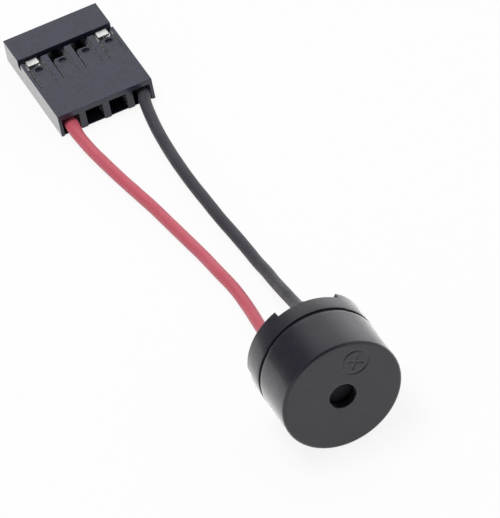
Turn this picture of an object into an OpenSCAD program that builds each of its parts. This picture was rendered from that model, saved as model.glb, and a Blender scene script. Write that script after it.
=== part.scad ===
// Twelve-millimetre board beeper on two flying leads with a four-way header socket.
// +Z up. The beeper lies on its barrel: its axis runs along Y and its sound face looks
// along -Y. The origin is under the middle of the beeper, on the surface it lies on.
// Both leads run back along +Y to the socket, which lies flat.

/* [Case] */
// Outer diameter of the case
case_d = 12; // [11.6:0.1:15]
// Height of the beeper, from the feet to the sound face
beeper_h = 8.05; // [7:0.05:12]
// Side wall of the case
case_wall = 0.7; // [0.5:0.05:0.9]
// Thickness of the sound face
face_t = 0.7; // [0.5:0.05:0.9]
// Fillet round the sound face
face_fillet = 0.3; // [0.1:0.05:0.4]
// Diameter of the sound hole
sound_hole_d = 2.7; // [1:0.1:4]

/* [Polarity mark] */
// Diameter of the engraved ring round the plus sign
mark_d = 2.6; // [2:0.1:3]
// Width of the engraved lines
mark_line = 0.22; // [0.15:0.01:0.3]
// Depth of the engraved lines
mark_depth = 0.08; // [0.05:0.01:0.2]

/* [Rear cover] */
// Height of the cover's outer wall, from the back plate's outer side to the parting line
cover_h = 2.15; // [1.6:0.05:3]
// Thickness of the back plate
plate_t = 0.6; // [0.4:0.05:0.9]
// Height of the feet behind the back plate
foot_h = 0.7; // [0.3:0.05:1.5]
// Wall of the feet, measured inwards from the barrel
foot_wall = 0.9; // [0.6:0.05:1.2]
// Arc that each foot covers, in degrees
foot_span = 64; // [20:1:80]
// Angle of the gap between the two upper feet, in degrees
foot_axis = 82; // [60:1:120]
// Angle from that gap's middle to the middle of each upper foot
foot_spread = 62.4; // [50:0.1:80]
// Wall of the spigot that enters the case
spigot_wall = 0.6; // [0.4:0.05:0.8]
// Height of the spigot above the parting line
spigot_h = 0.4; // [0.3:0.05:1]
// Width of the groove at the parting line
groove_w = 0.4; // [0.2:0.05:0.5]
// Depth of the groove at the parting line
groove_depth = 0.2; // [0.1:0.05:0.3]
// Step in the parting line at each end of the key
key_h = 0.1; // [0.05:0.05:0.2]

/* [Sound unit] */
// Thickness of the steel diaphragm
diaphragm_t = 0.1; // [0.05:0.01:0.2]
// Diameter of the weight on the diaphragm
weight_d = 3; // [2:0.1:5]
// Thickness of the weight on the diaphragm
weight_t = 0.3; // [0.1:0.05:0.35]
// Height of the sound chamber between the support ring and the sound face
chamber_h = 0.7; // [0.5:0.05:1.2]
// Width of the seat under the diaphragm's edge
seat_w = 0.4; // [0.3:0.05:0.5]
// Wall of the rim that centres the diaphragm
rim_wall = 0.2; // [0.15:0.01:0.25]
// Outer diameter of the ring magnet
magnet_d = 9; // [8.4:0.1:9.2]
// Wall of the ring magnet
magnet_wall = 1.4; // [1:0.1:1.6]
// Room between the ring magnet and the diaphragm
magnet_room = 0.5; // [0.3:0.05:0.9]
// Outer diameter of the coil
coil_d = 5.4; // [4.5:0.1:5.8]
// Room between the coil and the diaphragm
coil_room = 0.4; // [0.3:0.05:0.9]
// Diameter of the core
core_d = 2.2; // [1.6:0.1:3]
// Gap between the core and the diaphragm
air_gap = 0.25; // [0.1:0.05:0.28]
// Thickness of the yoke plate
yoke_t = 0.5; // [0.4:0.05:0.6]
// Thickness of the circuit board
board_t = 0.6; // [0.5:0.05:0.8]
// Diameter of the enamelled coil leads
lead_d = 0.12; // [0.1:0.01:0.2]

/* [Wires] */
// Outer diameter of each insulated wire
wire_d = 1.2; // [1:0.05:1.2]
// Diameter of the stranded copper inside
strand_d = 0.5; // [0.4:0.02:0.54]
// Room between each solder joint and the cover's spigot
joint_room = 0.1; // [0.05:0.05:0.6]
// Radius of each solder joint on the board
joint_foot_r = 0.75; // [0.6:0.05:0.9]
// Height of each solder joint
joint_h = 0.6; // [0.4:0.05:0.8]
// Angle of the positive joint on the board, in degrees
joint_turn = 62; // [50:1:75]
// Bare length of each wire between its insulation and the board
bare_l = 1.15; // [0.9:0.05:1.2]

/* [Header socket] */
// Number of ways
ways = 4; // [4:1:8]
// Distance between the ways
pitch = 2.54; // [2.54:0.01:2.6]
// Length of the housing
socket_l = 14; // [13.8:0.1:16]
// Height of the housing
socket_h = 2.54; // [2.5:0.02:3]
// Floor under the cavities
socket_floor = 0.15; // [0.1:0.05:0.3]
// Width of each cavity
cavity_w = 1.84; // [1.8:0.01:2]
// Height of each cavity
cavity_h = 1.8; // [1.75:0.01:1.9]
// Length of the relief in the floor at each cavity's mouth
mouth_relief = 0.12; // [0.05:0.01:0.3]
// Side of the square pin entry
entry_w = 1; // [0.8:0.05:1.2]
// Thickness of the wall behind the pin entries
entry_wall = 0.8; // [0.6:0.05:1]
// Distance from the wire end to the root of each latch tongue
tongue_y = 5.1; // [4:0.1:6]
// Length of each latch tongue
tongue_l = 3.8; // [3.3:0.1:4]
// Width of each latch tongue at its root
tongue_w = 1.54; // [1.4:0.02:1.6]
// Width of each latch tongue at its tip
tip_w = 1.34; // [1.2:0.02:1.4]
// Slot between each tongue and the wall on its right
slot_w = 0.1; // [0.08:0.01:0.2]
// How far each tongue slopes down to its tip
tongue_drop = 0.44; // [0.2:0.02:0.5]
// Radius of the dimple in each tongue
dimple_r = 0.42; // [0.2:0.02:0.45]
// Slope of the dimple's floor, in degrees
dimple_tilt = 20; // [10:1:24]
// Length of the window in front of each tongue
window_l = 1.4; // [1.2:0.1:2]
// Length of the groove that joins the windows
groove_l = 0.7; // [0.4:0.05:1]
// Depth of the groove that joins the windows
groove_h = 0.8; // [0.4:0.05:0.9]

/* [Crimp terminals] */
// Thickness of the sheet metal
sheet_t = 0.2; // [0.15:0.01:0.22]
// Width of the contact box
box_w = 1.7; // [1.5:0.02:1.74]
// Height of the contact box
box_h = 1.7; // [1.6:0.02:1.72]
// Rise of the springy tang on the contact box
tang_rise = 0.42; // [0.2:0.01:0.45]
// Distance from the wire end to the insulation crimp
crimp_y = 2.6; // [2:0.1:3]
// Length of the insulation crimp
crimp_l = 1.9; // [1.5:0.1:2.2]
// Length of the strand crimp
strand_crimp_l = 1.8; // [1:0.1:2]

/* [Hidden] */

// Clearances
slip = 0.05;         // radial room between a piece and the bore that holds it
hair = 0.01;         // radial room round a soldered, crimped or riveted piece
cut = 1;             // how far a cutter runs past the face it leaves

// Smoothness
fine = 128;
small = 48;
sides = 8;           // of each wire's tube

// Case and cover, as heights above the feet
case_r = case_d / 2;
bore_r = case_r - case_wall;
pack_r = bore_r - slip;
plate_z = foot_h;
plate_top = plate_z + plate_t;
seam_z = plate_z + cover_h;
feet = [foot_axis - foot_spread, foot_axis + foot_spread, foot_axis + 180];

// The parting line steps back by key_h over the key
key_from = 53.5;
key_to = 138;
key_play = 0.5;      // degrees of room at each end of the key

// Sound unit, between the spigot and the chamber
rim_over = 0.1;      // how far the support ring stands over the diaphragm
board_z = seam_z + spigot_h;
yoke_z = board_z + board_t;
motor_z = yoke_z + yoke_t;
face_in = beeper_h - face_t;
ledge_z = face_in - chamber_h;
seat_z = ledge_z - rim_over - diaphragm_t;
magnet_h = seat_z - magnet_room - motor_z;
coil_h = seat_z - coil_room - motor_z;
case_h = beeper_h - seam_z;
diaphragm_r = pack_r - rim_wall - slip;
ring_in_r = diaphragm_r - seat_w;
magnet_r = min(magnet_d / 2, ring_in_r - slip);
magnet_in_r = magnet_r - magnet_wall;
coil_in_r = core_d / 2 + 0.1;
coil_r = min(coil_d / 2, magnet_in_r - 0.1);
core_top = seat_z - air_gap;
rivet_r = core_d / 2 - 0.3;

// Wires and solder joints
wire_r = wire_d / 2;
strand_r = strand_d / 2;
pocket_r = pack_r - spigot_wall;
joint_r = pocket_r - joint_foot_r - joint_room;
stop_z = board_z - bare_l;
lead_r = lead_d / 2;
lead_turn = 22;      // degrees between a coil lead's hole and its solder joint
lead_ring_r = (coil_in_r + coil_r) / 2;
lead_hole_r = lead_r + 0.1;
lead_run_z = board_z - lead_r - hair;

// Header socket: its own frame has X across the ways and Y from the wire end
socket_at = [-0.6, 51.65, 0];
socket_w = ways * pitch;
red_way = 0;
black_way = 3;
wire_z = socket_floor + cavity_h / 2;
terminal_z = socket_floor + 0.03;
crimp_r = wire_r + 0.02 + sheet_t;
strand_crimp_r = strand_r + sheet_t;
strip_w = 1;
crimp_end = crimp_y + crimp_l;
jacket_end = crimp_end + 0.5;
strand_crimp_y = jacket_end + 0.8;
strand_end = strand_crimp_y + strand_crimp_l + 0.3;
box_y = tongue_y + tongue_l + 0.1;
box_end = socket_l - entry_wall - 0.1;
roof_z = socket_floor + cavity_h;
hook_drop = 0.3;
lean_y = crimp_y - 0.3;
lean = cavity_w / 2 - wire_r - slip;
window_end = tongue_y + tongue_l + window_l;
tang_y = box_y + 0.1;
tang_bend = window_end - 0.25;
tang_w = 1.2;
function way_x(i) = (i - (ways - 1) / 2) * pitch;

// Points where each wire enters the beeper and the socket
function joint_side(turn) = [
  joint_r * cos(turn), 0, case_r + joint_r * sin(turn)
];
function beeper_end(turn) = [
  joint_side(turn) + [0, beeper_h / 2 - stop_z, 0],
  joint_side(turn) + [0, beeper_h / 2, 0]
];
function socket_end(i, aside) = [
  socket_at + [way_x(i) + aside, 0.5, wire_z],
  socket_at + [way_x(i), lean_y, wire_z],
  socket_at + [way_x(i), jacket_end, wire_z]
];

// Route of the red wire across the surface
red_route = [
  [-1.75, 6.5, 2.5], [-1.55, 9, 2.1], [-1.2, 12, 1.55], [-0.9, 15, 1.05],
  [-0.7, 18, 0.75], [-0.7, 21, 0.65], [-1, 24, 0.65], [-1.3, 27, 0.65],
  [-1.7, 30, 0.65], [-2.1, 33, 0.65], [-2.5, 36, 0.65], [-3, 39, 0.65],
  [-3.5, 42, 0.65], [-3.95, 45, 0.7], [-4.3, 47.5, 0.8], [-4.5, 50, 0.95]
];
// Route of the black wire, which starts higher up and arches down
black_route = [
  [1.75, 5.6, 8.7], [1.7, 7.2, 7.5], [1.65, 9.2, 6.1], [1.8, 11.3, 5.15],
  [1.9, 13, 4.55], [2.1, 15.2, 3.6], [2.3, 17.6, 2.65], [2.5, 20, 1.85],
  [2.55, 22.5, 1.2], [2.6, 25, 0.8], [2.5, 28, 0.65], [2.3, 31, 0.65],
  [2.2, 34, 0.65], [2.1, 37, 0.65], [2.1, 40, 0.65], [2.2, 43, 0.65],
  [2.4, 46, 0.7], [2.7, 48.6, 0.85], [3.05, 50.6, 0.95]
];
red_path = concat(beeper_end(joint_turn + 180), red_route, socket_end(red_way, 0));
black_path = concat(beeper_end(joint_turn), black_route, socket_end(black_way, lean));

// ---- helpers ----

// Puts a piece modelled standing on the cover's feet onto its barrel
module laid() {
  translate([0, beeper_h / 2, case_r]) rotate([90, 0, 0]) children();
}

// Puts a piece modelled in the socket's frame where the socket lies
module in_socket(way = -1) {
  translate(socket_at + [way < 0 ? 0 : way_x(way), 0, 0]) children();
}

// Moves a child out to a solder joint
module at_joint(turn) {
  rotate([0, 0, turn]) translate([joint_r, 0, 0]) children();
}

module ring(r_out, r_in, h) {
  difference() {
    cylinder(r = r_out, h = h, $fn = fine);
    translate([0, 0, -cut]) cylinder(r = r_in, h = h + 2 * cut, $fn = fine);
  }
}

// Part of a ring, from angle a to angle b
module ring_arc(r_out, r_in, h, a, b) {
  rotate([0, 0, a])
    rotate_extrude(angle = b - a, $fn = fine)
      translate([r_in, 0]) square([r_out - r_in, h]);
}

// Sweeps a tube along a path
function unit(v) = v / norm(v);
function heading(p, i) = unit(
  i == 0 ? p[1] - p[0]
  : i == len(p) - 1 ? p[i] - p[i - 1]
  : unit(p[i + 1] - p[i]) + unit(p[i] - p[i - 1])
);
function tube_ring(p, i, r) = let (
    t = heading(p, i),
    side = unit(cross(t, [0, 0, 1])),
    up = cross(side, t)
  ) [for (k = [0 : sides - 1]) let (a = (k + 0.5) * 360 / sides)
    p[i] + r * (cos(a) * side + sin(a) * up)];
module tube(p, r) {
  last = len(p) - 1;
  points = [for (i = [0 : last]) each tube_ring(p, i, r)];
  walls = [for (i = [0 : last - 1], k = [0 : sides - 1]) let (j = (k + 1) % sides)
    [sides * i + k, sides * i + j, sides * (i + 1) + j, sides * (i + 1) + k]];
  start = [for (k = [sides - 1 : -1 : 0]) k];
  end = [for (k = [0 : sides - 1]) sides * last + k];
  polyhedron(points, concat([start], walls, [end]), convexity = 4);
}

// ---- beeper, modelled standing on its feet ----

module buzzer_case() {
  color([0.09, 0.09, 0.1]) laid() difference() {
    rotate_extrude($fn = fine) case_profile();
    translate([0, 0, seam_z - cut])
      ring_arc(case_r + cut, bore_r - cut, key_h + cut, key_to, key_from + 360);
    translate([0, 0, face_in - cut])
      cylinder(d = sound_hole_d, h = face_t + 2 * cut, $fn = small);
    translate([0, 0, beeper_h - mark_depth]) at_joint(joint_turn) plus_mark();
  }
}

// Half section of the case: wall, ledge for the sound unit, filleted sound face
module case_profile() {
  difference() {
    union() {
      translate([0, seam_z]) square([case_r, case_h - face_fillet]);
      translate([0, seam_z]) square([case_r - face_fillet, case_h]);
      translate([case_r - face_fillet, beeper_h - face_fillet])
        intersection() {
          circle(r = face_fillet, $fn = small);
          square(face_fillet);
        }
    }
    translate([-cut, 0]) square([bore_r + cut, ledge_z]);
    translate([-cut, 0]) square([ring_in_r + cut, face_in]);
  }
}

// Plus sign in a ring, over the positive joint
module plus_mark() {
  arm = mark_d - 5 * mark_line;
  ring(mark_d / 2 + mark_line / 2, mark_d / 2 - mark_line / 2, mark_depth + cut);
  for (turn = [0, 90])
    rotate([0, 0, turn]) translate([-arm / 2, -mark_line / 2, 0])
      cube([arm, mark_line, mark_depth + cut]);
}

module rear_cover() {
  neck_r = case_r - groove_depth;
  color([0.1, 0.1, 0.11]) laid() difference() {
    union() {
      cylinder(r = case_r, h = seam_z + key_h - groove_w, $fn = fine);
      cylinder(r = neck_r + hair, h = seam_z, $fn = fine);
      translate([0, 0, plate_z]) cylinder(r = pack_r, h = board_z - plate_z, $fn = fine);
      translate([0, 0, seam_z - hair])
        ring_arc(neck_r, pocket_r + spigot_wall / 2, key_h + hair,
          key_to + key_play, key_from - key_play + 360);
    }
    translate([0, 0, plate_top]) cylinder(r = pocket_r, h = beeper_h, $fn = fine);
    translate([0, 0, seam_z - groove_w])
      ring_arc(case_r + cut, neck_r + 2 * hair, key_h + cut,
        key_from - 2 * key_play, key_to + 2 * key_play);
    feet_cut();
    for (turn = [0, 180]) at_joint(joint_turn + turn)
      translate([0, 0, plate_z - cut])
        cylinder(r = wire_r + slip, h = plate_t + 2 * cut, $fn = small);
  }
}

// Everything behind the back plate except the feet
module feet_cut() {
  translate([0, 0, -cut]) cylinder(r = case_r - foot_wall, h = foot_h + cut, $fn = fine);
  for (i = [0 : len(feet) - 1]) {
    next = i + 1 < len(feet) ? feet[i + 1] : feet[0] + 360;
    translate([0, 0, -cut])
      ring_arc(case_r + cut, case_r - foot_wall - cut, foot_h + cut,
        feet[i] + foot_span / 2, next - foot_span / 2);
  }
}

module diaphragm() {
  color([0.72, 0.73, 0.75]) laid() translate([0, 0, seat_z])
    cylinder(r = diaphragm_r, h = diaphragm_t, $fn = fine);
}

module diaphragm_weight() {
  color([0.6, 0.6, 0.62]) laid() translate([0, 0, seat_z + diaphragm_t])
    cylinder(d = weight_d, h = weight_t, $fn = small);
}

module support_ring() {
  color([0.85, 0.82, 0.74]) laid() difference() {
    translate([0, 0, motor_z])
      ring(pack_r, ring_in_r, ledge_z - motor_z);
    translate([0, 0, seat_z])
      cylinder(r = diaphragm_r + slip, h = cut, $fn = fine);
  }
}

module ring_magnet() {
  color([0.25, 0.25, 0.27]) laid() translate([0, 0, motor_z])
    ring(magnet_r, magnet_in_r, magnet_h);
}

module coil_winding() {
  color([0.72, 0.4, 0.2]) laid() translate([0, 0, motor_z])
    ring(coil_r, coil_in_r, coil_h);
}

module pole_core() {
  color([0.66, 0.67, 0.7]) laid() {
    translate([0, 0, motor_z])
      cylinder(d = core_d, h = core_top - motor_z, $fn = small);
    translate([0, 0, yoke_z])
      cylinder(r = rivet_r, h = yoke_t + hair, $fn = small);
  }
}

module yoke_plate() {
  color([0.7, 0.71, 0.73]) laid() translate([0, 0, yoke_z]) difference() {
    cylinder(r = pack_r, h = yoke_t, $fn = fine);
    translate([0, 0, -cut]) cylinder(r = rivet_r + hair, h = yoke_t + 2 * cut, $fn = small);
    lead_holes(yoke_t);
  }
}

module circuit_board() {
  color([0.16, 0.4, 0.24]) laid() translate([0, 0, board_z]) difference() {
    cylinder(r = pack_r, h = board_t, $fn = fine);
    for (turn = [0, 180]) at_joint(joint_turn + turn) translate([0, 0, -cut])
      cylinder(r = strand_r + slip, h = board_t + 2 * cut, $fn = small);
    lead_holes(board_t);
  }
}

// Holes through which the two coil leads reach the back of the board
module lead_holes(h) {
  for (turn = [0, 180])
    rotate([0, 0, joint_turn + lead_turn + turn]) translate([lead_ring_r, 0, -cut])
      cylinder(r = lead_hole_r, h = h + 2 * cut, $fn = small);
}

// One coil lead: through the yoke and the board, then along the board to its joint
module coil_lead(turn) {
  down = lead_ring_r * [cos(turn + lead_turn), sin(turn + lead_turn)];
  joint = joint_r * [cos(turn), sin(turn)];
  run = joint - down;
  reach = norm(run) - (joint_foot_r - lead_d);
  color([0.75, 0.42, 0.2]) laid() translate([down[0], down[1], 0]) {
    translate([0, 0, lead_run_z])
      cylinder(r = lead_r, h = motor_z - lead_run_z, $fn = 16);
    translate([0, 0, lead_run_z]) sphere(r = lead_r, $fn = 16);
    translate([0, 0, lead_run_z]) rotate([0, 90, atan2(run[1], run[0])])
      cylinder(r = lead_r, h = reach, $fn = 16);
  }
}
module positive_coil_lead() { coil_lead(joint_turn); }
module negative_coil_lead() { coil_lead(joint_turn + 180); }

// Solder cone on the back of the board, round a wire's strands
module solder_joint(turn) {
  color([0.78, 0.78, 0.8]) laid() difference() {
    at_joint(turn) translate([0, 0, board_z - joint_h])
      cylinder(r1 = strand_r + 0.12, r2 = joint_foot_r, h = joint_h, $fn = small);
    at_joint(turn) translate([0, 0, board_z - joint_h - cut])
      cylinder(r = strand_r + hair, h = joint_h + 2 * cut, $fn = small);
    lead_slot(turn);
  }
}

// Room for the end of the coil lead inside its solder joint
module lead_slot(turn) {
  down = lead_ring_r * [cos(turn + lead_turn), sin(turn + lead_turn)];
  joint = joint_r * [cos(turn), sin(turn)];
  run = joint - down;
  translate([down[0], down[1], lead_run_z]) rotate([0, 0, atan2(run[1], run[0])])
    translate([0, -lead_r - hair, -lead_r - hair])
      cube([norm(run) - joint_foot_r + lead_d + hair, lead_d + 2 * hair, cut]);
}
module positive_solder() { solder_joint(joint_turn); }
module negative_solder() { solder_joint(joint_turn + 180); }

// ---- leads ----

// Bare strands at both ends of a wire
module conductor(turn, way) {
  color([0.8, 0.52, 0.3]) {
    laid() at_joint(turn) translate([0, 0, stop_z])
      cylinder(r = strand_r, h = bare_l + board_t - 0.1, $fn = small);
    in_socket(way) translate([0, jacket_end, wire_z]) rotate([-90, 0, 0])
      cylinder(r = strand_r, h = strand_end - jacket_end, $fn = small);
  }
}
module red_conductor() { conductor(joint_turn + 180, red_way); }
module black_conductor() { conductor(joint_turn, black_way); }

module red_wire() { color([0.8, 0.2, 0.24]) tube(red_path, wire_r); }
module black_wire() { color([0.12, 0.12, 0.13]) tube(black_path, wire_r); }

// ---- header socket ----

// Folded crimp terminal: contact box, strand crimp and insulation crimp on one strip
module terminal() {
  color([0.82, 0.83, 0.84]) difference() {
    union() {
      translate([-strip_w / 2, crimp_y, terminal_z])
        cube([strip_w, box_end - crimp_y, sheet_t]);
      translate([-box_w / 2, box_y, terminal_z]) cube([box_w, box_end - box_y, box_h]);
      translate([-tang_w / 2, 0, 0]) tang();
      crimp_sleeve(crimp_y, crimp_l, crimp_r);
      crimp_sleeve(strand_crimp_y, strand_crimp_l, strand_crimp_r);
      translate([-strand_r, strand_crimp_y, terminal_z])
        cube([2 * strand_r, strand_crimp_l, wire_z - terminal_z]);
    }
    translate([-box_w / 2 + sheet_t, box_y - cut, terminal_z + sheet_t])
      cube([box_w - 2 * sheet_t, box_end - box_y + 2 * cut, box_h - 2 * sheet_t]);
    translate([0, crimp_y - cut, wire_z]) rotate([-90, 0, 0])
      cylinder(r = wire_r + 0.02, h = jacket_end - crimp_y + cut, $fn = small);
    translate([0, jacket_end - cut, wire_z]) rotate([-90, 0, 0])
      cylinder(r = strand_r + hair, h = strand_end - jacket_end + cut, $fn = small);
  }
}
module crimp_sleeve(y, l, r) {
  translate([0, y, wire_z]) rotate([-90, 0, 0]) cylinder(r = r, h = l, $fn = small);
}

// Springy tang that rises from the contact box into the window
module tang() {
  low = terminal_z + box_h - hair;
  high = low + tang_rise + hair;
  foot = window_end - slip;
  across(tang_w) polygon([
    [tang_y, high - sheet_t], [tang_bend, high - sheet_t],
    [foot - sheet_t, low], [foot, low], [tang_bend + slip, high], [tang_y, high]
  ]);
}

// Extrudes a side outline, drawn as Y and Z, over a width along X
module across(w) {
  rotate([90, 0, 90]) linear_extrude(height = w) children();
}
module red_terminal() { in_socket(red_way) terminal(); }
module black_terminal() { in_socket(black_way) terminal(); }

module socket_housing() {
  color([0.13, 0.13, 0.15]) in_socket() difference() {
    translate([-socket_w / 2, 0, 0]) cube([socket_w, socket_l, socket_h]);
    for (i = [0 : ways - 1]) translate([way_x(i), 0, 0]) way_cut();
    translate([-socket_w / 2 - cut, window_end - groove_l, socket_h - groove_h])
      cube([socket_w + 2 * cut, groove_l, groove_h + cut]);
  }
}

// Everything cut for one way: cavity, pin entry, and the window round its latch tongue
module way_cut() {
  entry_z = terminal_z + box_h / 2;
  difference() {
    union() {
      translate([-cavity_w / 2, -cut, socket_floor])
        cube([cavity_w, socket_l - entry_wall + cut, cavity_h]);
      translate([-cavity_w / 2, tongue_y, roof_z - hair])
        cube([cavity_w, window_end - tongue_y, socket_h - roof_z + cut]);
    }
    translate([cavity_w / 2 - slot_w - tongue_w, 0, 0]) tongue();
  }
  translate([-entry_w / 2, socket_l - entry_wall - cut, entry_z - entry_w / 2])
    cube([entry_w, entry_wall + 2 * cut, entry_w]);
  translate([-cavity_w / 2, 0, 0]) across(cavity_w) polygon([
    [-cut, -cut], [mouth_relief, -cut], [mouth_relief, socket_floor / 2],
    [4 * mouth_relief, socket_floor + hair], [-cut, socket_floor + hair]
  ]);
}

// Latch tongue: slopes down to its tip, where its underside hooks behind the contact box
module tongue() {
  tip = tongue_y + tongue_l;
  taper = tongue_w - tip_w;
  difference() {
    across(tongue_w) polygon([
      [tongue_y - cut, roof_z], [tongue_y, roof_z], [tip - 0.2, roof_z - hook_drop],
      [tip, roof_z - hook_drop], [tip, socket_h - tongue_drop],
      [tongue_y, socket_h], [tongue_y - cut, socket_h]
    ]);
    linear_extrude(height = socket_h + cut) polygon([
      [0, tongue_y], [taper, tip], [taper, tip + cut], [-cut, tip + cut], [-cut, tongue_y]
    ]);
    translate([(tongue_w + taper) / 2, tip - dimple_r - 0.3, 0]) dimple();
  }
}

// Dimple in a latch tongue: its floor leaves the slope and is deepest near the tip
module dimple() {
  near = tongue_l - dimple_r * (1 + cos(dimple_tilt)) - 0.3;
  translate([0, 0, socket_h - tongue_drop * near / tongue_l - dimple_r * sin(dimple_tilt)])
    rotate([-dimple_tilt, 0, 0]) cylinder(r = dimple_r, h = cut, $fn = small);
}

buzzer_case();
rear_cover();
diaphragm();
diaphragm_weight();
support_ring();
ring_magnet();
coil_winding();
pole_core();
yoke_plate();
circuit_board();
positive_coil_lead();
negative_coil_lead();
positive_solder();
negative_solder();
red_conductor();
black_conductor();
red_wire();
black_wire();
red_terminal();
black_terminal();
socket_housing();
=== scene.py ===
import math

import bmesh
import bpy
from mathutils import Matrix, Vector


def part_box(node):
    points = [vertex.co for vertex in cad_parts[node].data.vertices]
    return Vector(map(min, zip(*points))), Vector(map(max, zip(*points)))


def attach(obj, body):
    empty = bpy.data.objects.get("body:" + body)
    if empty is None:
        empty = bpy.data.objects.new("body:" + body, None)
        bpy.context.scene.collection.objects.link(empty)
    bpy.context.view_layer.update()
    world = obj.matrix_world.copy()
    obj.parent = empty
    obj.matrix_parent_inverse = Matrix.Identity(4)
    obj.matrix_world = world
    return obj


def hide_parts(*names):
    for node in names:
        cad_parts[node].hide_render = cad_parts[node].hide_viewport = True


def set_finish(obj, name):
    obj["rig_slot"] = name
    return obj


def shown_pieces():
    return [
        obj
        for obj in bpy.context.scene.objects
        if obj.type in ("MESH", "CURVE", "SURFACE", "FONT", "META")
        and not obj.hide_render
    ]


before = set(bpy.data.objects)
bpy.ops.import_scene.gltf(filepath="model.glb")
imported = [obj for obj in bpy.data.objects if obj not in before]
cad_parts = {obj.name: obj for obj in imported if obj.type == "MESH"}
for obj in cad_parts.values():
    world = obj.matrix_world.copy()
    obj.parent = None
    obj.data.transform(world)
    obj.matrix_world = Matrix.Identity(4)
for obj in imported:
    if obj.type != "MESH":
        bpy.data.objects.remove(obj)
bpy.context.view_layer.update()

# Lengths below are in millimetres and angles in degrees, seen from the sound face.
MM = 0.001

# ---- sizes, from the frame where it has them ----


def box_mm(node):
    """Lowest and highest corner of a CAD node, in millimetres."""
    low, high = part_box(node)
    return low / MM, high / MM


def middle(node):
    low, high = box_mm(node)
    return (low + high) / 2


case_low, case_high = box_mm("buzzer_case")
board_low, board_high = box_mm("circuit_board")
socket_low, socket_high = box_mm("socket_housing")
terminal_low, terminal_high = box_mm("red_terminal")
positive_joint = middle("positive_solder")

# Beeper. Heights are measured from the feet's end towards the sound face.
# JOINT_R is how far the wires' joints and the engraved mark are from the axis.
BACK_Y = box_mm("rear_cover")[1].y
AXIS_Z = (case_low.z + case_high.z) / 2
CASE_R = (case_high.x - case_low.x) / 2
DEPTH = BACK_Y - case_low.y
SEAM = BACK_Y - case_high.y              # parting line over the key
BOARD = BACK_Y - board_high.y            # where the cover's spigot ends
PACK_R = (board_high.x - board_low.x) / 2
LEDGE = BACK_Y - box_mm("support_ring")[0].y
JOINT_R = (positive_joint - Vector((0, positive_joint.y, AXIS_Z))).length

GROOVE = 0.4                             # width of the groove at the parting line
GROOVE_DEPTH = 0.2
KEY = (53.5, 138)                        # arc of the key
KEY_PLAY = 0.5
KEY_STEP = 0.1                           # the parting line steps back by this over the key
FACE_T = 0.7
FACE_FILLET = 0.3
WALL = 0.7
HOLE_R = 1.35
RING_IN_R = 4.6                          # radius of the chamber over the diaphragm
PLATE = 0.7                              # height of the back plate's outer side
PLATE_T = 0.6
FOOT_WALL = 0.9
FEET = (19.6, 144.4, 262)
FOOT_SPAN = 64
SPIGOT_WALL = 0.6

MARK_TURN = 62
MARK_R = 1.3
MARK_LINE = 0.22
MARK_DEPTH = 0.08
MARK_ARM = MARK_R - 2.5 * MARK_LINE      # half length of the plus sign's strokes
MARK_SLOPE = 0.09                        # width of the engraving's sloping sides

# Wires. Lengths in the socket are measured from its wire end.
WIRE_R = 0.6
HOLE_PLAY = 0.05
STRAND_R = 0.25
BARE = 1.15                              # bare copper between the board and the insulation
TUCK = 0.1                               # copper inside the insulation at the crimp
PITCH = 2.54
SOCKET_X = (socket_low.x + socket_high.x) / 2
MOUTH_Y = socket_low.y
WIRE_Z = 1.05
LEAN = 0.27                              # the black wire enters its way off centre
LEAN_Y = 2.3                             # and is straight from here on
JACKET_END = 5.0
RED_X = SOCKET_X - 1.5 * PITCH
BLACK_X = SOCKET_X + 1.5 * PITCH

# Crimp terminals: where each stretch starts and ends, and its size.
SHEET = 0.2
CRIMP_PLAY = 0.02
CRIMP = (2.6, 4.5)
STRAND_CRIMP = (5.8, 7.6)
STRAND_END = 7.9
BOX = (9.0, 13.1)
BOX_W = 1.7
BOX_H = 1.7
BOX_CORNER = 0.15
BOX_GAP = 0.06
TANG = (9.1, 10.05, 10.25)
TANG_W = 1.2
STRIP_W = 1
STRIP_LAP = 0.3                          # the strip reaches this far under the box

# What only the visible model has: softened edges, and ramps in degrees at the steps.
SOFT = 0.06
FOOT_SOFT = 0.05
METAL_SOFT = 0.03
DISC_SOFT = 0.04
SOCKET_SOFT = 0.035
SOCKET_SHORT = 0.12                      # shorter edges of the socket stay sharp
FACE_STEP = 0.042                        # between the sound face's rings of vertices
KEY_RAMP = 0.4
WALL_RAMP = 0.6
FOOT_RAMP = 0.8


# ---- camera ----

EYE = Vector((-130.35, -427.48, 412.25))
AIM = Vector((1.529, 21.294, 3.043))
ROLL = 12.149
LENS = 456.81
SENSOR = 36


def look_from(eye, aim, roll):
    """World matrix of a camera at eye that looks at aim, rolled clockwise."""
    forward = (aim - eye).normalized()
    side = forward.cross(Vector((0, 0, 1))).normalized()
    up = side.cross(forward) * math.cos(roll) + side * math.sin(roll)
    side = forward.cross(up)
    return Matrix((
        (side.x, up.x, -forward.x, eye.x),
        (side.y, up.y, -forward.y, eye.y),
        (side.z, up.z, -forward.z, eye.z),
        (0, 0, 0, 1),
    ))


def make_camera():
    """The camera that the scene is looked at through."""
    data = bpy.data.cameras.new("camera")
    data.sensor_fit = "VERTICAL"
    data.sensor_width = SENSOR
    data.sensor_height = SENSOR
    data.lens = LENS
    data.clip_start = 0.01
    data.clip_end = 10
    camera = bpy.data.objects.new("camera", data)
    bpy.context.scene.collection.objects.link(camera)
    camera.matrix_world = look_from(EYE * MM, AIM * MM, math.radians(ROLL))
    bpy.context.scene.camera = camera


make_camera()


# ---- mesh helpers ----

def smooth(t):
    """Smooth step from 0 to 1."""
    t = min(max(t, 0), 1)
    return t * t * (3 - 2 * t)


def add_object(name, mesh, slot_name, node):
    """Links a mesh as a piece that stands for a CAD node."""
    piece = bpy.data.objects.new(name, mesh)
    bpy.context.scene.collection.objects.link(piece)
    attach(piece, "root")
    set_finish(piece, slot_name)
    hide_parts(node)
    return piece


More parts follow.
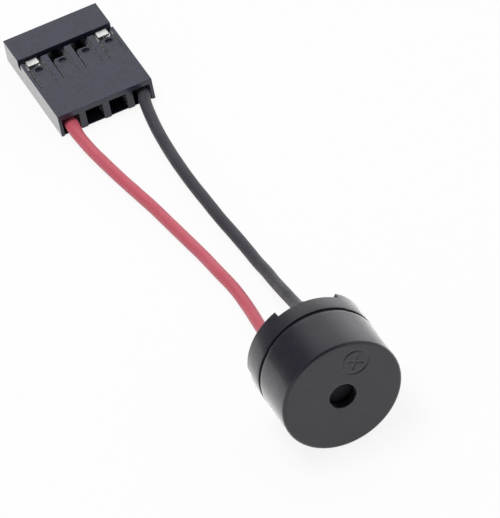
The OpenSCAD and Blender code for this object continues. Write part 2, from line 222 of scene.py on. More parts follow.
def finish_mesh(bm, name, sharp=35, merge=1e-5):
    """Turns a bmesh in millimetres into a smooth mesh in metres with sharp edges."""
    bmesh.ops.remove_doubles(bm, verts=bm.verts, dist=merge)
    bmesh.ops.dissolve_degenerate(bm, edges=bm.edges, dist=merge)
    bmesh.ops.recalc_face_normals(bm, faces=bm.faces)
    bmesh.ops.scale(bm, vec=(MM, MM, MM), verts=bm.verts)
    mesh = bpy.data.meshes.new(name)
    bm.to_mesh(mesh)
    bm.free()
    mesh.shade_smooth()
    mesh.set_sharp_from_angle(angle=math.radians(sharp))
    return mesh


def arc(centre, radius, start, end, steps):
    """Points of an arc in a profile, as (r, h)."""
    turns = [math.radians(start + (end - start) * k / steps) for k in range(steps + 1)]
    return [(centre[0] + radius * math.cos(t), centre[1] + radius * math.sin(t)) for t in turns]


def worn(points, wear):
    """Points of a profile, each with its wear as a third number."""
    return [(r, h, wear) for r, h in points]


def on_beeper(r, turn, height):
    """A point at a radius and angle about the barrel's axis, at a height above the feet."""
    t = math.radians(turn)
    return Vector((r * math.cos(t), BACK_Y - height, AXIS_Z + r * math.sin(t)))


def lathe(profile, turns, closed=True):
    """Revolves a profile that may change with the angle. A third number in a point is its wear."""
    bm = bmesh.new()
    wear = bm.verts.layers.float.new("wear")
    columns = []
    for turn in turns:
        column = []
        for point in profile(turn):
            vert = bm.verts.new(on_beeper(point[0], turn, point[1]))
            vert[wear] = point[2] if len(point) > 2 else 0
            column.append(vert)
        columns.append(column)
    count = len(columns[0])
    for here, there in zip(columns, columns[1:] + columns[:1]):
        for i in range(count if closed else count - 1):
            j = (i + 1) % count
            bm.faces.new((here[i], here[j], there[j], there[i]))
    return bm, columns


def between(turn, start, end, ramp):
    """1 inside an arc and 0 outside it. Each end has a ramp of some degrees centred on it."""
    off = (turn - start) % 360
    span = (end - start) % 360
    if off > 180 + span / 2:
        off -= 360
    return smooth(off / ramp + 0.5) * smooth((span - off) / ramp + 0.5)


def turns_with(ends, ramp, step=1.5, fine=None):
    """Angles all round, with more across each ramp and in a stretch (start, end, step)."""
    count = round(360 / step)
    found = {round(360 * k / count, 3) for k in range(count)}
    if fine:
        start, end, fine_step = fine
        fine_count = round((end - start) / fine_step)
        found |= {round(start + (end - start) * k / fine_count, 3) for k in range(fine_count + 1)}
    ramps = {round((e + ramp * k / 8) % 360, 3) for e in ends for k in range(-4, 5)}
    apart = min(ramp / 16, 0.02)
    plain = {t for t in found if all(abs(t - r) > apart for r in ramps)}
    return sorted(plain | ramps)


# ---- case ----

def mark_cut(r, turn):
    """Depth of the engraved plus mark at a point of the sound face."""
    t = math.radians(turn - MARK_TURN)
    u = r * math.cos(t) - JOINT_R
    v = r * math.sin(t)
    ring = abs(math.hypot(u, v) - MARK_R)
    along = math.hypot(max(abs(u) - MARK_ARM, 0), v)
    across = math.hypot(max(abs(v) - MARK_ARM, 0), u)
    away = min(ring, along, across)
    return MARK_DEPTH * smooth((MARK_LINE / 2 + MARK_SLOPE / 2 - away) / MARK_SLOPE)


def face_radii():
    """Radii of the sound face's rings, close enough for the engraving."""
    radii = [CASE_R - FACE_FILLET - 0.1 - FACE_STEP * k for k in range(99)]
    return [r for r in radii if r > HOLE_R + SOFT + 0.05]


def case_profile(turn):
    """Section of the case at an angle, from the rear rim over the face and back inside."""
    rear = SEAM + KEY_STEP * (1 - between(turn, *KEY, KEY_RAMP))
    bore = CASE_R - WALL
    front = arc((CASE_R - FACE_FILLET, DEPTH - FACE_FILLET), FACE_FILLET, 0, 90, 8)
    mouth = arc((HOLE_R + SOFT, DEPTH - SOFT), SOFT, 90, 180, 4)
    return (
        [(bore, rear), (bore + 0.2, rear)]
        + worn(arc((CASE_R - SOFT, rear + SOFT), SOFT, -90, 0, 4), 0.6)
        + [(CASE_R, SEAM + KEY_STEP + 0.3), (CASE_R, DEPTH - 2)]
        + worn(front, 0.15)
        + [(r, DEPTH - mark_cut(r, turn)) for r in face_radii()]
        + worn(mouth, 0.7)
        + [(HOLE_R, DEPTH - FACE_T), (RING_IN_R, DEPTH - FACE_T), (RING_IN_R, LEDGE), (bore, LEDGE)]
    )


def make_case():
    """The case, with close angles where the mark is engraved."""
    turns = turns_with(KEY, KEY_RAMP, fine=(MARK_TURN - 23, MARK_TURN + 23, 0.6))
    mesh = finish_mesh(lathe(case_profile, turns)[0], "case_shell")
    return add_object("case_shell", mesh, "case_plastic", "buzzer_case")


# ---- rear cover ----

def foot_ends():
    """Angles at which the feet start and end."""
    return [(f + side * FOOT_SPAN / 2) % 360 for f in FEET for side in (-1, 1)]


def cover_profile(turn):
    """Section of the cover at an angle, from inside the spigot round to the back plate."""
    over_key = between(turn, KEY[0] - 2 * KEY_PLAY, KEY[1] + 2 * KEY_PLAY, WALL_RAMP)
    neck_gap = between(turn, KEY[0] - KEY_PLAY, KEY[1] + KEY_PLAY, KEY_RAMP)
    wall_top = SEAM - GROOVE + KEY_STEP * (1 - over_key)
    neck_top = SEAM + KEY_STEP * (1 - neck_gap)
    on_foot = max(between(turn, f - FOOT_SPAN / 2, f + FOOT_SPAN / 2, FOOT_RAMP) for f in FEET)
    rear = PLATE * (1 - on_foot)
    neck_r = CASE_R - GROOVE_DEPTH
    foot_r = CASE_R - FOOT_WALL
    pocket_r = PACK_R - SPIGOT_WALL
    inner = FOOT_SOFT * on_foot
    return (
        [(pocket_r, PLATE + PLATE_T), (pocket_r, BOARD), (PACK_R, BOARD)]
        + [(PACK_R, neck_top), (neck_r, neck_top), (neck_r, wall_top)]
        + worn(arc((CASE_R - SOFT, wall_top - SOFT), SOFT, 90, 0, 4), 0.5)
        + [(CASE_R, SEAM - GROOVE - 0.4)]
        + worn(arc((CASE_R - SOFT, rear + SOFT), SOFT, 0, -90, 4), 0.9)
        + worn(arc((foot_r + inner, rear + inner), inner, -90, -180, 3), 0.5)
        + [(foot_r, PLATE)]
    )


def make_cover():
    """Wall and feet, and a back plate with the two wires' holes."""
    steps = [KEY[0] - 2 * KEY_PLAY, KEY[1] + 2 * KEY_PLAY, KEY[0] - KEY_PLAY, KEY[1] + KEY_PLAY]
    turns = sorted(set(turns_with(foot_ends(), FOOT_RAMP) + turns_with(steps, KEY_RAMP)))
    bm, columns = lathe(cover_profile, turns, closed=False)
    inner = [column[0] for column in columns]
    outer = [column[-1] for column in columns]
    walls = [wire_hole(bm, middle(node)) for node in ("positive_solder", "negative_solder")]
    fill_plate(bm, [inner] + [wall[-1] for wall in walls])
    fill_plate(bm, [outer] + [wall[0] for wall in walls])
    return add_object("cover_shell", finish_mesh(bm, "cover_shell"), "cover_plastic", "rear_cover")


def wire_hole(bm, joint, sides=48):
    """Wall of a wire's hole in the back plate, with a softened outer rim. Returns its rings."""
    rings = []
    for grow, depth in ((0.07, 0), (0.03, 0.04), (0, 0.1), (0, PLATE_T)):
        r = WIRE_R + HOLE_PLAY + grow
        y = BACK_Y - (PLATE + depth)
        ring = []
        for k in range(sides):
            t = 2 * math.pi * k / sides
            ring.append(bm.verts.new((joint.x + r * math.cos(t), y, joint.z + r * math.sin(t))))
        rings.append(ring)
    for here, there in zip(rings, rings[1:]):
        for i in range(sides):
            j = (i + 1) % sides
            bm.faces.new((here[i], here[j], there[j], there[i]))
    return rings


def fill_plate(bm, loops):
    """Fills a flat face bounded by an outer loop and the loops of its holes."""
    edges = []
    for loop in loops:
        for a, b in zip(loop, loop[1:] + loop[:1]):
            edges.append(bm.edges.get((a, b)) or bm.edges.new((a, b)))
    bmesh.ops.triangle_fill(bm, use_beauty=True, use_dissolve=False, edges=edges)


# ---- wires ----

# Each route repeats the points in the part's source.
RED_ROUTE = [
    (-1.75, 6.5, 2.5), (-1.55, 9, 2.1), (-1.2, 12, 1.55), (-0.9, 15, 1.05),
    (-0.7, 18, 0.75), (-0.7, 21, 0.65), (-1, 24, 0.65), (-1.3, 27, 0.65),
    (-1.7, 30, 0.65), (-2.1, 33, 0.65), (-2.5, 36, 0.65), (-3, 39, 0.65),
    (-3.5, 42, 0.65), (-3.95, 45, 0.7), (-4.3, 47.5, 0.8), (-4.5, 50, 0.95),
]
BLACK_ROUTE = [
    (1.75, 5.6, 8.7), (1.7, 7.2, 7.5), (1.65, 9.2, 6.1), (1.8, 11.3, 5.15),
    (1.9, 13, 4.55), (2.1, 15.2, 3.6), (2.3, 17.6, 2.65), (2.5, 20, 1.85),
    (2.55, 22.5, 1.2), (2.6, 25, 0.8), (2.5, 28, 0.65), (2.3, 31, 0.65),
    (2.2, 34, 0.65), (2.1, 37, 0.65), (2.1, 40, 0.65), (2.2, 43, 0.65),
    (2.4, 46, 0.7), (2.7, 48.6, 0.85), (3.05, 50.6, 0.95),
]


def wire_points(node, joint_node, route, way_x, aside):
    """All points of a wire, from inside the beeper to its crimp."""
    joint = middle(joint_node)
    start_y = box_mm(node)[0].y
    beeper_end = [(joint.x, start_y, joint.z), (joint.x, BACK_Y, joint.z)]
    socket_end = [
        (way_x + aside, MOUTH_Y + 0.5, WIRE_Z),
        (way_x, MOUTH_Y + LEAN_Y, WIRE_Z),
        (way_x, MOUTH_Y + JACKET_END, WIRE_Z),
    ]
    return [Vector(p) for p in beeper_end + route + socket_end]


def spline(points, step):
    """Points about a step apart on the Catmull-Rom curve through the given ones."""
    ends = [2 * points[0] - points[1]] + points + [2 * points[-1] - points[-2]]
    found = []
    for a, b, c, d in zip(ends, ends[1:], ends[2:], ends[3:]):
        count = max(1, round((c - b).length / step))
        for k in range(count):
            t = k / count
            found.append(0.5 * (
                2 * b + (c - a) * t + (2 * a - 5 * b + 4 * c - d) * t ** 2
                + (3 * b - a - 3 * c + d) * t ** 3
            ))
    return found + [points[-1]]


def tube(bm, path, radius, sides=24):
    """Adds a closed tube. radius(s, turn) gives (aside, upward) half widths at a distance s."""
    uv = bm.loops.layers.uv.verify()
    rings = []
    distance = [0]
    for here, there in zip(path, path[1:]):
        distance.append(distance[-1] + (there - here).length)
    for i, point in enumerate(path):
        ahead = (path[min(i + 1, len(path) - 1)] - path[max(i - 1, 0)]).normalized()
        side = ahead.cross(Vector((0, 0, 1))).normalized()
        up = side.cross(ahead)
        ring = []
        for k in range(sides):
            t = 2 * math.pi * k / sides
            aside, upward = radius(distance[i], t)
            at = point + side * aside * math.cos(t) + up * upward * math.sin(t)
            ring.append(bm.verts.new(at))
        rings.append(ring)
    for i in range(len(rings) - 1):
        for k in range(sides):
            j = (k + 1) % sides
            face = bm.faces.new((rings[i][k], rings[i][j], rings[i + 1][j], rings[i + 1][k]))
            corners = [(k, i), (k + 1, i), (k + 1, i + 1), (k, i + 1)]
            for loop, (across, along) in zip(face.loops, corners):
                loop[uv].uv = (across / sides, distance[along])
    bm.faces.new(rings[0][::-1])
    bm.faces.new(rings[-1])
    return distance[-1]


# Unevenness of a wire: share of its radius, waves along it and waves round it.
WOBBLE = ((0.006, 0.9, 0), (0.005, 2.3, 2))
PRESSED = 2.2            # stretch before the crimp where a wire is pressed oval
PRESS_RAMP = 3           # over which it becomes oval
RELEASE_RAMP = 0.5       # and over which it is round again at the crimp


def make_wire(name, node, points, exit_point, squeeze, slot_name, phase):
    """An insulated wire: slightly uneven, and pressed oval in front of its crimp."""
    path = spline(points, 0.4)
    total = sum((b - a).length for a, b in zip(path, path[1:]))

    def radius(s, turn):
        wobble = sum(size * math.sin(a * s + b * turn + phase) for size, a, b in WOBBLE)
        to_crimp = (total - s) - (JACKET_END - CRIMP[0])
        near = smooth(1 - (to_crimp - PRESSED) / PRESS_RAMP) * smooth(to_crimp / RELEASE_RAMP)
        held = WIRE_R * (1 + wobble)
        return held * (1 + squeeze[0] * near), held * (1 + squeeze[1] * near)

    bm = bmesh.new()
    length = tube(bm, path, radius)
    wire = add_object(name, finish_mesh(bm, name, sharp=50), slot_name, node)
    return wire, path, length, exit_point


def plate_exit(joint_node):
    """Where a wire leaves the back plate, straight behind its solder joint."""
    joint = middle(joint_node)
    return Vector((joint.x, BACK_Y - PLATE, joint.z))


red = make_wire(
    "red_insulation_tube", "red_wire",
    wire_points("red_wire", "negative_solder", RED_ROUTE, RED_X, 0),
    plate_exit("negative_solder"), squeeze=(0.2, -0.1), slot_name="red_insulation", phase=0.4,
)
black = make_wire(
    "black_insulation_tube", "black_wire",
    wire_points("black_wire", "positive_solder", BLACK_ROUTE, BLACK_X, LEAN),
    plate_exit("positive_solder"), squeeze=(0.05, -0.05), slot_name="black_insulation", phase=2.1,
)


def strands(name, node, joint_node, way_x, lay=3.2, steps=24):
    """The bare copper at both ends of a wire: six strands twisted round a straight one."""
    joint = middle(joint_node)
    start = box_mm(node)[0].y
    runs = [
        ((joint.x, start, joint.z), BACK_Y - BOARD + BARE - start),
        ((way_x, MOUTH_Y + JACKET_END - TUCK, WIRE_Z), STRAND_END - JACKET_END + TUCK),
    ]
    bm = bmesh.new()
    thin = STRAND_R / 3
    for (x, y, z), length in runs:
        for k in range(7):
            away = 0 if k == 6 else 2 * thin
            path = []
            for i in range(steps + 1):
                s = length * i / steps
                t = 2 * math.pi * (k / 6 + s / lay)
                path.append(Vector((x + away * math.cos(t), y + s, z + away * math.sin(t))))
            tube(bm, path, lambda s, turn: (thin, thin), sides=10)
    return add_object(name, finish_mesh(bm, name, sharp=50), "bare_copper", node)


red_strands = strands("red_strands", "red_conductor", "negative_solder", RED_X)
black_strands = strands("black_strands", "black_conductor", "positive_solder", BLACK_X)


# ---- crimp terminals ----

def folded(bm, outline, span, place):
    """Adds sheet metal: an open outline, thickened and drawn out over a span."""
    def normal(i):
        a = outline[max(i - 1, 0)]
        b = outline[min(i + 1, len(outline) - 1)]
        along = Vector((b[0] - a[0], b[1] - a[1])).normalized()
        return Vector((-along.y, along.x)) * SHEET / 2

    sides = []
    for sign in (1, -1):
        line = [Vector(p) + sign * normal(i) for i, p in enumerate(outline)]
        sides.append([[bm.verts.new(place(p.x, p.y, d)) for p in line] for d in span])
    (a0, a1), (b0, b1) = sides
    last = len(outline) - 1
    for i in range(last):
        bm.faces.new((a0[i], a0[i + 1], a1[i + 1], a1[i]))
        bm.faces.new((b0[i], b1[i], b1[i + 1], b0[i + 1]))
        bm.faces.new((a0[i], b0[i], b0[i + 1], a0[i + 1]))
        bm.faces.new((a1[i], a1[i + 1], b1[i + 1], b1[i]))
    for i in (0, last):
        bm.faces.new((a0[i], a1[i], b1[i], b0[i]))


def rounded_loop(width, height, radius, gap, z):
    """Outline of a folded box, open by a small gap in the middle of its top."""
    x, top = width / 2, z + height
    corners = [
        ((x - radius, top - radius), 90, 0), ((x - radius, z + radius), 0, -90),
        ((-x + radius, z + radius), -90, -180), ((-x + radius, top - radius), 180, 90),
    ]
    points = [(gap / 2, top)]
    for centre, start, end in corners:
        points += arc(centre, radius, start, end, 5)
    return points + [(-gap / 2, top)]


def barrel(radius, gap_turn, curl):
    """Outline of a crimp barrel: wings that close at the top and curl in near their ends."""
    turns = [90 - gap_turn - (360 - 2 * gap_turn) * k / 28 for k in range(29)]
    points = []
    for t in turns:
        from_top = (t - 90) % 360
        to_seam = 1 - min(from_top, 360 - from_top) / 40
        r = radius - curl * smooth(to_seam)
        points.append((r * math.cos(math.radians(t)), WIRE_Z + r * math.sin(math.radians(t))))
    return points


def make_terminal(name, node, way_x):
    """A folded crimp terminal: strip, contact box, two crimps, and the tang on the box."""
    low = terminal_low.z
    bm = bmesh.new()

    def lengthwise(x, z, y):
        return Vector((way_x + x, MOUTH_Y + y, z))

    def crosswise(y, z, x):
        return Vector((way_x + x, MOUTH_Y + y, z))

    half = SHEET / 2
    strip = [(x, low + half) for x in (-STRIP_W / 2, 0, STRIP_W / 2)]
    box = rounded_loop(BOX_W - SHEET, BOX_H - SHEET, BOX_CORNER, BOX_GAP, low + half)
    folded(bm, strip, (CRIMP[0], BOX[0] + STRIP_LAP), lengthwise)
    folded(bm, box, BOX, lengthwise)
    folded(bm, barrel(WIRE_R + CRIMP_PLAY + half, gap_turn=4, curl=0), CRIMP, lengthwise)
    folded(bm, barrel(STRAND_R + half, gap_turn=6, curl=0.06), STRAND_CRIMP, lengthwise)
    for side in (-1, 1):
        wall = side * (STRAND_R + half)
        folded(bm, [(wall, low + half), (wall, WIRE_Z)], STRAND_CRIMP, lengthwise)
    top = low + BOX_H - half
    high = terminal_high.z - half
    foot = TANG[2] - half
    tang = [
        (TANG[0], high), (TANG[1] - 0.12, high), (TANG[1] + 0.02, high - 0.04),
        (foot - 0.01, high - 0.16), (foot, top),
    ]
    folded(bm, tang, (-TANG_W / 2, TANG_W / 2), crosswise)
    piece = add_object(name, finish_mesh(bm, name, sharp=40), "tinned_metal", node)
    edges = piece.modifiers.new("soft_edges", "BEVEL")
    edges.width = METAL_SOFT * MM
    edges.segments = 2
    edges.limit_method = "ANGLE"
    edges.angle_limit = math.radians(50)
    return piece


red_terminal = make_terminal("red_crimp_terminal", "red_terminal", RED_X)
black_terminal = make_terminal("black_crimp_terminal", "black_terminal", BLACK_X)


# ---- header socket ----

def make_socket():
    """The housing's solid, cleaned to whole faces and softened along its moulded edges."""
    bm = bmesh.new()
    bm.from_mesh(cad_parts["socket_housing"].data)
    wear = bm.verts.layers.float.new("wear")
    rounded = bm.faces.layers.int.new("rounded")
    bmesh.ops.scale(bm, vec=(1 / MM, 1 / MM, 1 / MM), verts=bm.verts)
    bmesh.ops.remove_doubles(bm, verts=bm.verts, dist=1e-4)
    bmesh.ops.dissolve_limit(bm, angle_limit=math.radians(1), verts=bm.verts, edges=bm.edges)
    edges = [
        e for e in bm.edges
        if len(e.link_faces) == 2 and e.calc_face_angle(0) > math.radians(50)
        and e.calc_length() > SOCKET_SHORT
    ]
    made = bmesh.ops.bevel(
        bm, geom=edges, offset=SOCKET_SOFT, segments=3, profile=0.5, affect="EDGES",
        clamp_overlap=True,
    )
    for vert in made["verts"]:
        vert[wear] = 1
    for face in made["faces"]:
        face[rounded] = 1
    mesh = finish_mesh(bm, "socket_body", sharp=40)
    keep_flat(mesh, 40)
    return add_object("socket_body", mesh, "socket_plastic", "socket_housing")


def keep_flat(mesh, sharp):
    """Shades the whole faces flat and lets only the rounded edges between them blend."""
    limit = math.cos(math.radians(sharp))
    rounded = [item.value for item in mesh.attributes["rounded"].data]
    around = [[] for _ in mesh.vertices]
    for face in mesh.polygons:
        for index in face.vertices:
            around[index].append(face)
    normals = [None] * len(mesh.loops)
    for face in mesh.polygons:
        for loop in face.loop_indices:
            corner = mesh.loops[loop].vertex_index
            near = [f for f in around[corner] if f.normal.dot(face.normal) > limit]
            near = [f for f in near if not rounded[f.index]] or near
            total = Vector((0, 0, 0))
            for other in near:
                total += other.normal * other.area
            normals[loop] = tuple(total.normalized()) if total.length > 0 else tuple(face.normal)
    mesh.normals_split_custom_set(normals)


make_case()
make_cover()
socket = make_socket()


# ---- diaphragm ----

def make_disc(name, node):
    """A thin stamped steel disc with rounded edges."""
    low, high = box_mm(node)
    r_out = (high.x - low.x) / 2
    bottom = BACK_Y - high.y
    top = BACK_Y - low.y
    soft = min(DISC_SOFT, (top - bottom) * 0.4)

    def profile(turn):
        return (
            [(0, bottom)] + arc((r_out - soft, bottom + soft), soft, -90, 0, 3)
            + worn(arc((r_out - soft, top - soft), soft, 0, 90, 3), 0.8)
            + [(r_out * k / 10, top) for k in range(9, -1, -1)]
        )

    mesh = finish_mesh(lathe(profile, range(0, 360, 3))[0], name)
    return add_object(name, mesh, "spring_steel", node)


make_disc("diaphragm_disc", "diaphragm")
weight = make_disc("weight_disc", "diaphragm_weight")


# ---- materials ----

class Finish:
    """A Principled material with short calls for the texture nodes used below."""

    def __init__(self, name, roughness, metallic=0.0, **fixed):
        self.material = bpy.data.materials.new(name)
        self.material.use_nodes = True
        self.tree = self.material.node_tree
        self.shader = self.tree.nodes["Principled BSDF"]
        self.shader.inputs["Roughness"].default_value = roughness
        self.shader.inputs["Metallic"].default_value = metallic
        for label, value in fixed.items():
            self.shader.inputs[label.replace("_", " ")].default_value = value

    def node(self, kind, values=(), **settings):
        made = self.tree.nodes.new(kind)
        for key, value in settings.items():
            setattr(made, key, value)
        for key, value in dict(values).items():
            if isinstance(value, bpy.types.NodeSocket):
                self.tree.links.new(value, made.inputs[key])
            else:
                made.inputs[key].default_value = value
        return made

    def space(self, stretch=(1, 1, 1), source="Object", unit=1 / MM):
        """Coordinates in millimetres, stretched along the axes."""
        coordinates = self.node("ShaderNodeTexCoord").outputs[source]
        scale = tuple(unit * s for s in stretch)
        return self.node("ShaderNodeMapping", {"Vector": coordinates, "Scale": scale}).outputs[0]

    def noise(self, where, scale, detail=3.0, roughness=0.5):
        values = {"Vector": where, "Scale": scale, "Detail": detail, "Roughness": roughness}
        return self.node("ShaderNodeTexNoise", values).outputs["Fac"]

    def spread(self, value, low, high, to_low=0.0, to_high=1.0):
        """Maps a value from one range to another and clamps it."""
        values = {
            "Value": value, "From Min": low, "From Max": high,
            "To Min": to_low, "To Max": to_high,
        }
        return self.node("ShaderNodeMapRange", values).outputs[0]

    def math(self, operation, a, b=0.0):
        made = self.node("ShaderNodeMath", {0: a, 1: b}, operation=operation)
        return made.outputs[0]

    def blend(self, amount, dark, light):
        """Mixes two colours, each a tuple or a socket."""
        made = self.node("ShaderNodeMix", {"Factor": amount}, data_type="RGBA")
        for socket, value in ((made.inputs[6], dark), (made.inputs[7], light)):
            if isinstance(value, bpy.types.NodeSocket):
                self.tree.links.new(value, socket)
            else:
                socket.default_value = (*value, 1)
        return made.outputs[2]

    def bump(self, height, depth, under=None):
        """Bump of a depth in millimetres, over an earlier one."""
        values = {"Height": height, "Distance": depth * MM, "Strength": 1.0}
        if under:
            values["Normal"] = under
        return self.node("ShaderNodeBump", values).outputs[0]

    def set(self, label, value):
        self.tree.links.new(value, self.shader.inputs[label])


def shade(color, factor):
    return tuple(min(c * factor, 1) for c in color)


def moulded(name, color, roughness, grain=14.0, grain_depth=0.004, worn=1.6, coat=0.0, sheen=0.0):
    """Moulded plastic: cloudy pigment, spark-eroded grain, dust, and rubbed edges."""
    f = Finish(
        name, roughness, IOR=1.42, Coat_Weight=coat, Coat_IOR=1.3, Coat_Roughness=0.2,
        Sheen_Weight=sheen, Sheen_Roughness=0.25,
    )
    where = f.space()
    clouds = f.noise(where, 0.55, 4)
    fine = f.noise(where, grain, 4, 0.6)
    dust = f.spread(f.noise(where, 5.5, 6, 0.7), 0.68, 0.76)
    rubbed = f.math(
        "MULTIPLY", f.node("ShaderNodeAttribute", attribute_name="wear").outputs["Fac"],
        f.spread(f.noise(where, 2.4, 5), 0.42, 0.68),
    )
    base = f.blend(f.spread(clouds, 0.3, 0.7), shade(color, 0.82), shade(color, 1.18))
    dusty = f.blend(f.math("MULTIPLY", dust, 0.35), base, shade(color, 2.4))
    f.set("Base Color", f.blend(f.math("MULTIPLY", rubbed, 0.8), dusty, shade(color, worn)))
    glossy = f.spread(f.noise(where, 1.6, 5), 0.3, 0.7, roughness - 0.05, roughness + 0.06)
    f.set("Roughness", f.math("ADD", glossy, f.math("MULTIPLY", rubbed, -0.05)))
    slow = f.bump(clouds, 0.012)
    f.set("Normal", f.bump(fine, grain_depth, slow))
    return f.material


def insulation(name, color, dark, light, gloss=0.5):
    """Extruded PVC: drawn streaks, faint ripples round it, and handling marks."""
    f = Finish(name, 0.45, IOR=1.5, Specular_IOR_Level=gloss)
    streaks = f.noise(f.space((26, 0.35, 1), source="UV", unit=1), 1, 3)
    where = f.space()
    clouds = f.noise(where, 0.4, 4)
    marks = f.spread(f.noise(where, 3.2, 6, 0.7), 0.6, 0.74)
    base = f.blend(f.spread(streaks, 0.3, 0.7), dark, color)
    mottled = f.blend(f.math("MULTIPLY", f.spread(clouds, 0.45, 0.72), 0.5), base, light)
    f.set("Base Color", f.blend(f.math("MULTIPLY", marks, 0.3), mottled, shade(color, 0.55)))
    f.set("Roughness", f.spread(f.noise(where, 2.1, 5), 0.3, 0.7, 0.36, 0.5))
    drawn = f.bump(streaks, 0.01)
    skin = f.bump(f.noise(where, 9, 4), 0.006, drawn)
    f.set("Normal", skin)
    return f.material


def metal(name, color, roughness, stretch=(1, 1, 1), anisotropic=0.0, depth=0.002):
    """Rolled or plated metal: drawn grain, blotches of tarnish and small dents."""
    f = Finish(name, roughness, 1.0, Anisotropic=anisotropic)
    where = f.space()
    drawn = f.noise(f.space(stretch), 9, 4)
    blotches = f.noise(where, 1.3, 5, 0.6)
    tarnished = f.blend(f.spread(blotches, 0.35, 0.75), color, shade(color, 0.72))
    f.set("Base Color", f.blend(f.spread(drawn, 0.35, 0.65), tarnished, shade(color, 1.08)))
    dulled = f.noise(where, 3.5, 5)
    f.set("Roughness", f.spread(dulled, 0.3, 0.7, roughness - 0.07, roughness + 0.1))
    f.set("Normal", f.bump(drawn, depth, f.bump(blotches, 0.01)))
    return f.material


def grained(name, color, light, roughness, scale=6.0, depth=0.01):
    """Sintered material: two-tone grain with pits."""
    f = Finish(name, roughness)
    where = f.space()
    grain = f.noise(where, scale, 6, 0.65)
    pits = f.spread(f.noise(where, scale * 1.7, 4), 0.36, 0.5)
    f.set("Base Color", f.blend(f.spread(grain, 0.35, 0.65), color, light))
    f.set("Roughness", f.spread(grain, 0.3, 0.7, roughness - 0.08, roughness + 0.08))
    f.set("Normal", f.bump(pits, depth))
    return f.material


def wound(name, color):
    """Enamelled wire in close turns, under a clear coat."""
    f = Finish(name, 0.3, 1.0, Coat_Weight=0.6, Coat_Roughness=0.15)
    where = f.space()
    values = {"Vector": where, "Scale": 1.6, "Distortion": 0.2, "Detail": 2.0}
    turns = f.node("ShaderNodeTexWave", values, bands_direction="Y").outputs["Fac"]
    blotches = f.noise(where, 1.5, 4)
    f.set("Base Color", f.blend(f.spread(blotches, 0.3, 0.7), shade(color, 0.75), color))
    f.set("Normal", f.bump(turns, 0.05))
    return f.material


def weave(name, color, light):
    """Glass laminate under solder mask."""
    f = Finish(name, 0.35, Coat_Weight=0.4, Coat_Roughness=0.2)
    where = f.space()
    values = {"Vector": where, "Scale": 1.1}
    over = f.node("ShaderNodeTexWave", values, bands_direction="X").outputs["Fac"]
    under = f.node("ShaderNodeTexWave", values, bands_direction="Z").outputs["Fac"]
    cloth = f.math("MULTIPLY", over, under)
    patches = f.noise(where, 0.8, 4)
    woven = f.blend(f.math("MULTIPLY", cloth, 0.5), color, light)
    f.set("Base Color", f.blend(f.spread(patches, 0.4, 0.8), woven, shade(color, 0.7)))
    f.set("Normal", f.bump(cloth, 0.01))
    return f.material


# By name, without the number that Blender adds to a name in use.
MATERIALS = {
    made.name.split(".")[0]: made for made in (
        moulded("case_plastic", (0.0125, 0.0118, 0.0205), 0.32, coat=1.0, sheen=1.0),
        moulded("cover_plastic", (0.016, 0.015, 0.023), 0.34, coat=1.0, sheen=1.0),
        moulded(
            "socket_plastic", (0.0155, 0.018, 0.036), 0.34,
            grain=10.0, grain_depth=0.005, coat=1.0, sheen=0.6,
        ),
        insulation(
            "red_insulation", (0.57, 0.108, 0.15),
            dark=(0.51, 0.09, 0.125), light=(0.61, 0.132, 0.172),
        ),
        insulation(
            "black_insulation", (0.059, 0.057, 0.068),
            dark=(0.049, 0.047, 0.058), light=(0.073, 0.071, 0.082), gloss=0.15,
        ),
        metal(
            "tinned_metal", (0.94, 0.935, 0.92), 0.34,
            stretch=(1, 0.15, 1), anisotropic=0.3, depth=0.0006,
        ),
        # Spring steel, partly its own colour and partly painted shade: darkened so that the
        # diaphragm seen through the sound hole stays dark.
        metal("spring_steel", (0.25, 0.25, 0.28), 0.7, stretch=(1, 1, 0.1), anisotropic=0.4),
        metal("core_iron", (0.55, 0.56, 0.58), 0.35),
        metal("solder", (0.7, 0.7, 0.72), 0.22),
        metal("bare_copper", (0.78, 0.42, 0.24), 0.3, stretch=(1, 0.2, 1)),
        wound("enamelled_copper", (0.62, 0.25, 0.1)),
        moulded("ring_plastic", (0.62, 0.56, 0.44), 0.45),
        grained("magnet", (0.03, 0.03, 0.033), light=(0.06, 0.058, 0.06), roughness=0.6),
        weave("board_laminate", (0.03, 0.16, 0.06), light=(0.1, 0.3, 0.14)),
    )
}


def dress(thing, material):
    """Gives a piece one material all over."""
    thing.data.materials.clear()
    thing.data.materials.append(material)
    for polygon in thing.data.polygons:
        polygon.material_index = 0


# A piece made here goes by its slot, a CAD node by the material it came with.
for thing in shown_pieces():
    node_material = thing.data.materials[0].name.split(".")[0] if thing.data.materials else None
    dress(thing, MATERIALS[thing.get("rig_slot") or node_material])
# The weight behind the sound hole is painted near black as painted shade, which keeps the hole
# dark.
dress(weight, metal("weight_painted_shade", (0.07, 0.07, 0.08), 0.8))


# ---- floor, world and lamp ----

LIT = Vector((0, 30, 3)) * MM            # the lamp points here
FLOOR_COLOR = (0.86, 0.86, 0.86, 1)
FLOOR_GLOW = 0.88                        # share of plain white in what is seen of the floor
WORLD_LEVEL = 0.75
# Each adds an amount inside a cone: azimuth, elevation, narrow, wide, amount.
WORLD_LOBES = [
    (46, 9, 12, 36, 0.55),
    (16, 42, 4, 18, 0.25),
    (8, 0, 12, 30, -0.55),
    (-40, 23, 14, 38, -0.6),
    (197, 50, 30, 56, -0.6),
]


def direction(azimuth, elevation):
    """Unit vector at an azimuth from +Y towards +X and an elevation."""
    a, e = math.radians(azimuth), math.radians(elevation)
    return Vector((math.sin(a) * math.cos(e), math.cos(a) * math.cos(e), math.sin(e)))


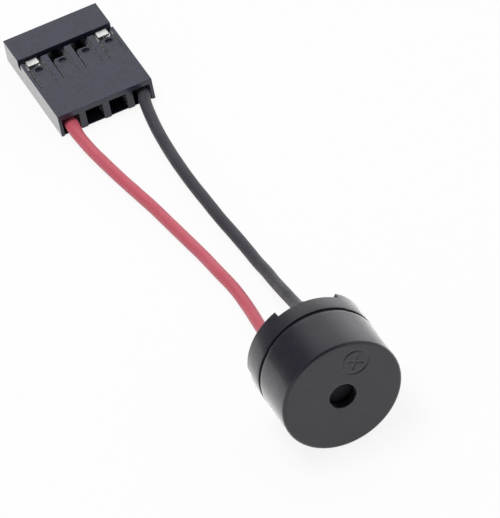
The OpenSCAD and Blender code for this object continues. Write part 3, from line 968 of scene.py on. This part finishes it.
def make_floor():
    """Pale matt table top that shows white to the camera and keeps a soft shadow."""
    bpy.ops.mesh.primitive_plane_add(size=4, location=(0, 0, -0.02 * MM))
    floor = bpy.context.object
    floor.name = "floor"
    f = Finish("table_top", 0.9)
    f.shader.inputs["Base Color"].default_value = FLOOR_COLOR
    glow = f.node("ShaderNodeEmission", {"Color": (1, 1, 1, 1), "Strength": 1.0})
    ray = f.node("ShaderNodeLightPath")
    seen = f.math("MAXIMUM", ray.outputs["Is Camera Ray"], ray.outputs["Is Glossy Ray"])
    seen = f.math("MAXIMUM", seen, ray.outputs["Is Transmission Ray"])
    mixed = f.node("ShaderNodeMixShader", {0: f.math("MULTIPLY", seen, FLOOR_GLOW)})
    f.tree.links.new(f.shader.outputs[0], mixed.inputs[1])
    f.tree.links.new(glow.outputs[0], mixed.inputs[2])
    f.tree.links.new(mixed.outputs[0], f.tree.nodes["Material Output"].inputs[0])
    floor.data.materials.append(f.material)


def make_world():
    """A pale studio, bright behind on the right, with darker patches behind and in front."""
    world = bpy.data.worlds.new("studio")
    world.use_nodes = True
    bpy.context.scene.world = world
    tree = world.node_tree
    back = tree.nodes["Background"]
    around = tree.nodes.new("ShaderNodeTexCoord").outputs["Generated"]

    def lobe(azimuth, elevation, narrow, wide, amount):
        """The amount within narrow degrees of a direction, fading to 0 at wide degrees."""
        dot = tree.nodes.new("ShaderNodeVectorMath")
        dot.operation = "DOT_PRODUCT"
        tree.links.new(around, dot.inputs[0])
        dot.inputs[1].default_value = direction(azimuth, elevation)
        step = tree.nodes.new("ShaderNodeMapRange")
        step.interpolation_type = "SMOOTHSTEP"
        tree.links.new(dot.outputs["Value"], step.inputs["Value"])
        step.inputs["From Min"].default_value = math.cos(math.radians(wide))
        step.inputs["From Max"].default_value = math.cos(math.radians(narrow))
        step.inputs["To Max"].default_value = amount
        return step.outputs[0]

    total = tree.nodes.new("ShaderNodeValue").outputs[0]
    total.default_value = WORLD_LEVEL
    for values in WORLD_LOBES:
        plus = tree.nodes.new("ShaderNodeMath")
        tree.links.new(total, plus.inputs[0])
        tree.links.new(lobe(*values), plus.inputs[1])
        total = plus.outputs[0]
    tree.links.new(total, back.inputs["Strength"])
    back.inputs["Color"].default_value = (1, 1, 1, 1)


def lamp(name, azimuth, elevation, distance, size, watts):
    """A round soft lamp at a distance in metres, which glossy surfaces don't mirror."""
    data = bpy.data.lights.new(name, "AREA")
    data.shape = "DISK"
    data.size = size
    data.energy = watts
    thing = bpy.data.objects.new(name, data)
    thing.location = direction(azimuth, elevation) * distance + LIT
    thing.rotation_euler = (LIT - thing.location).to_track_quat("-Z", "Y").to_euler()
    thing.visible_glossy = False
    bpy.context.scene.collection.objects.link(thing)


make_floor()
make_world()
lamp("top_softbox", azimuth=-60, elevation=78, distance=0.6, size=0.3, watts=2.2)
bpy.context.scene.view_settings.view_transform = "Standard"
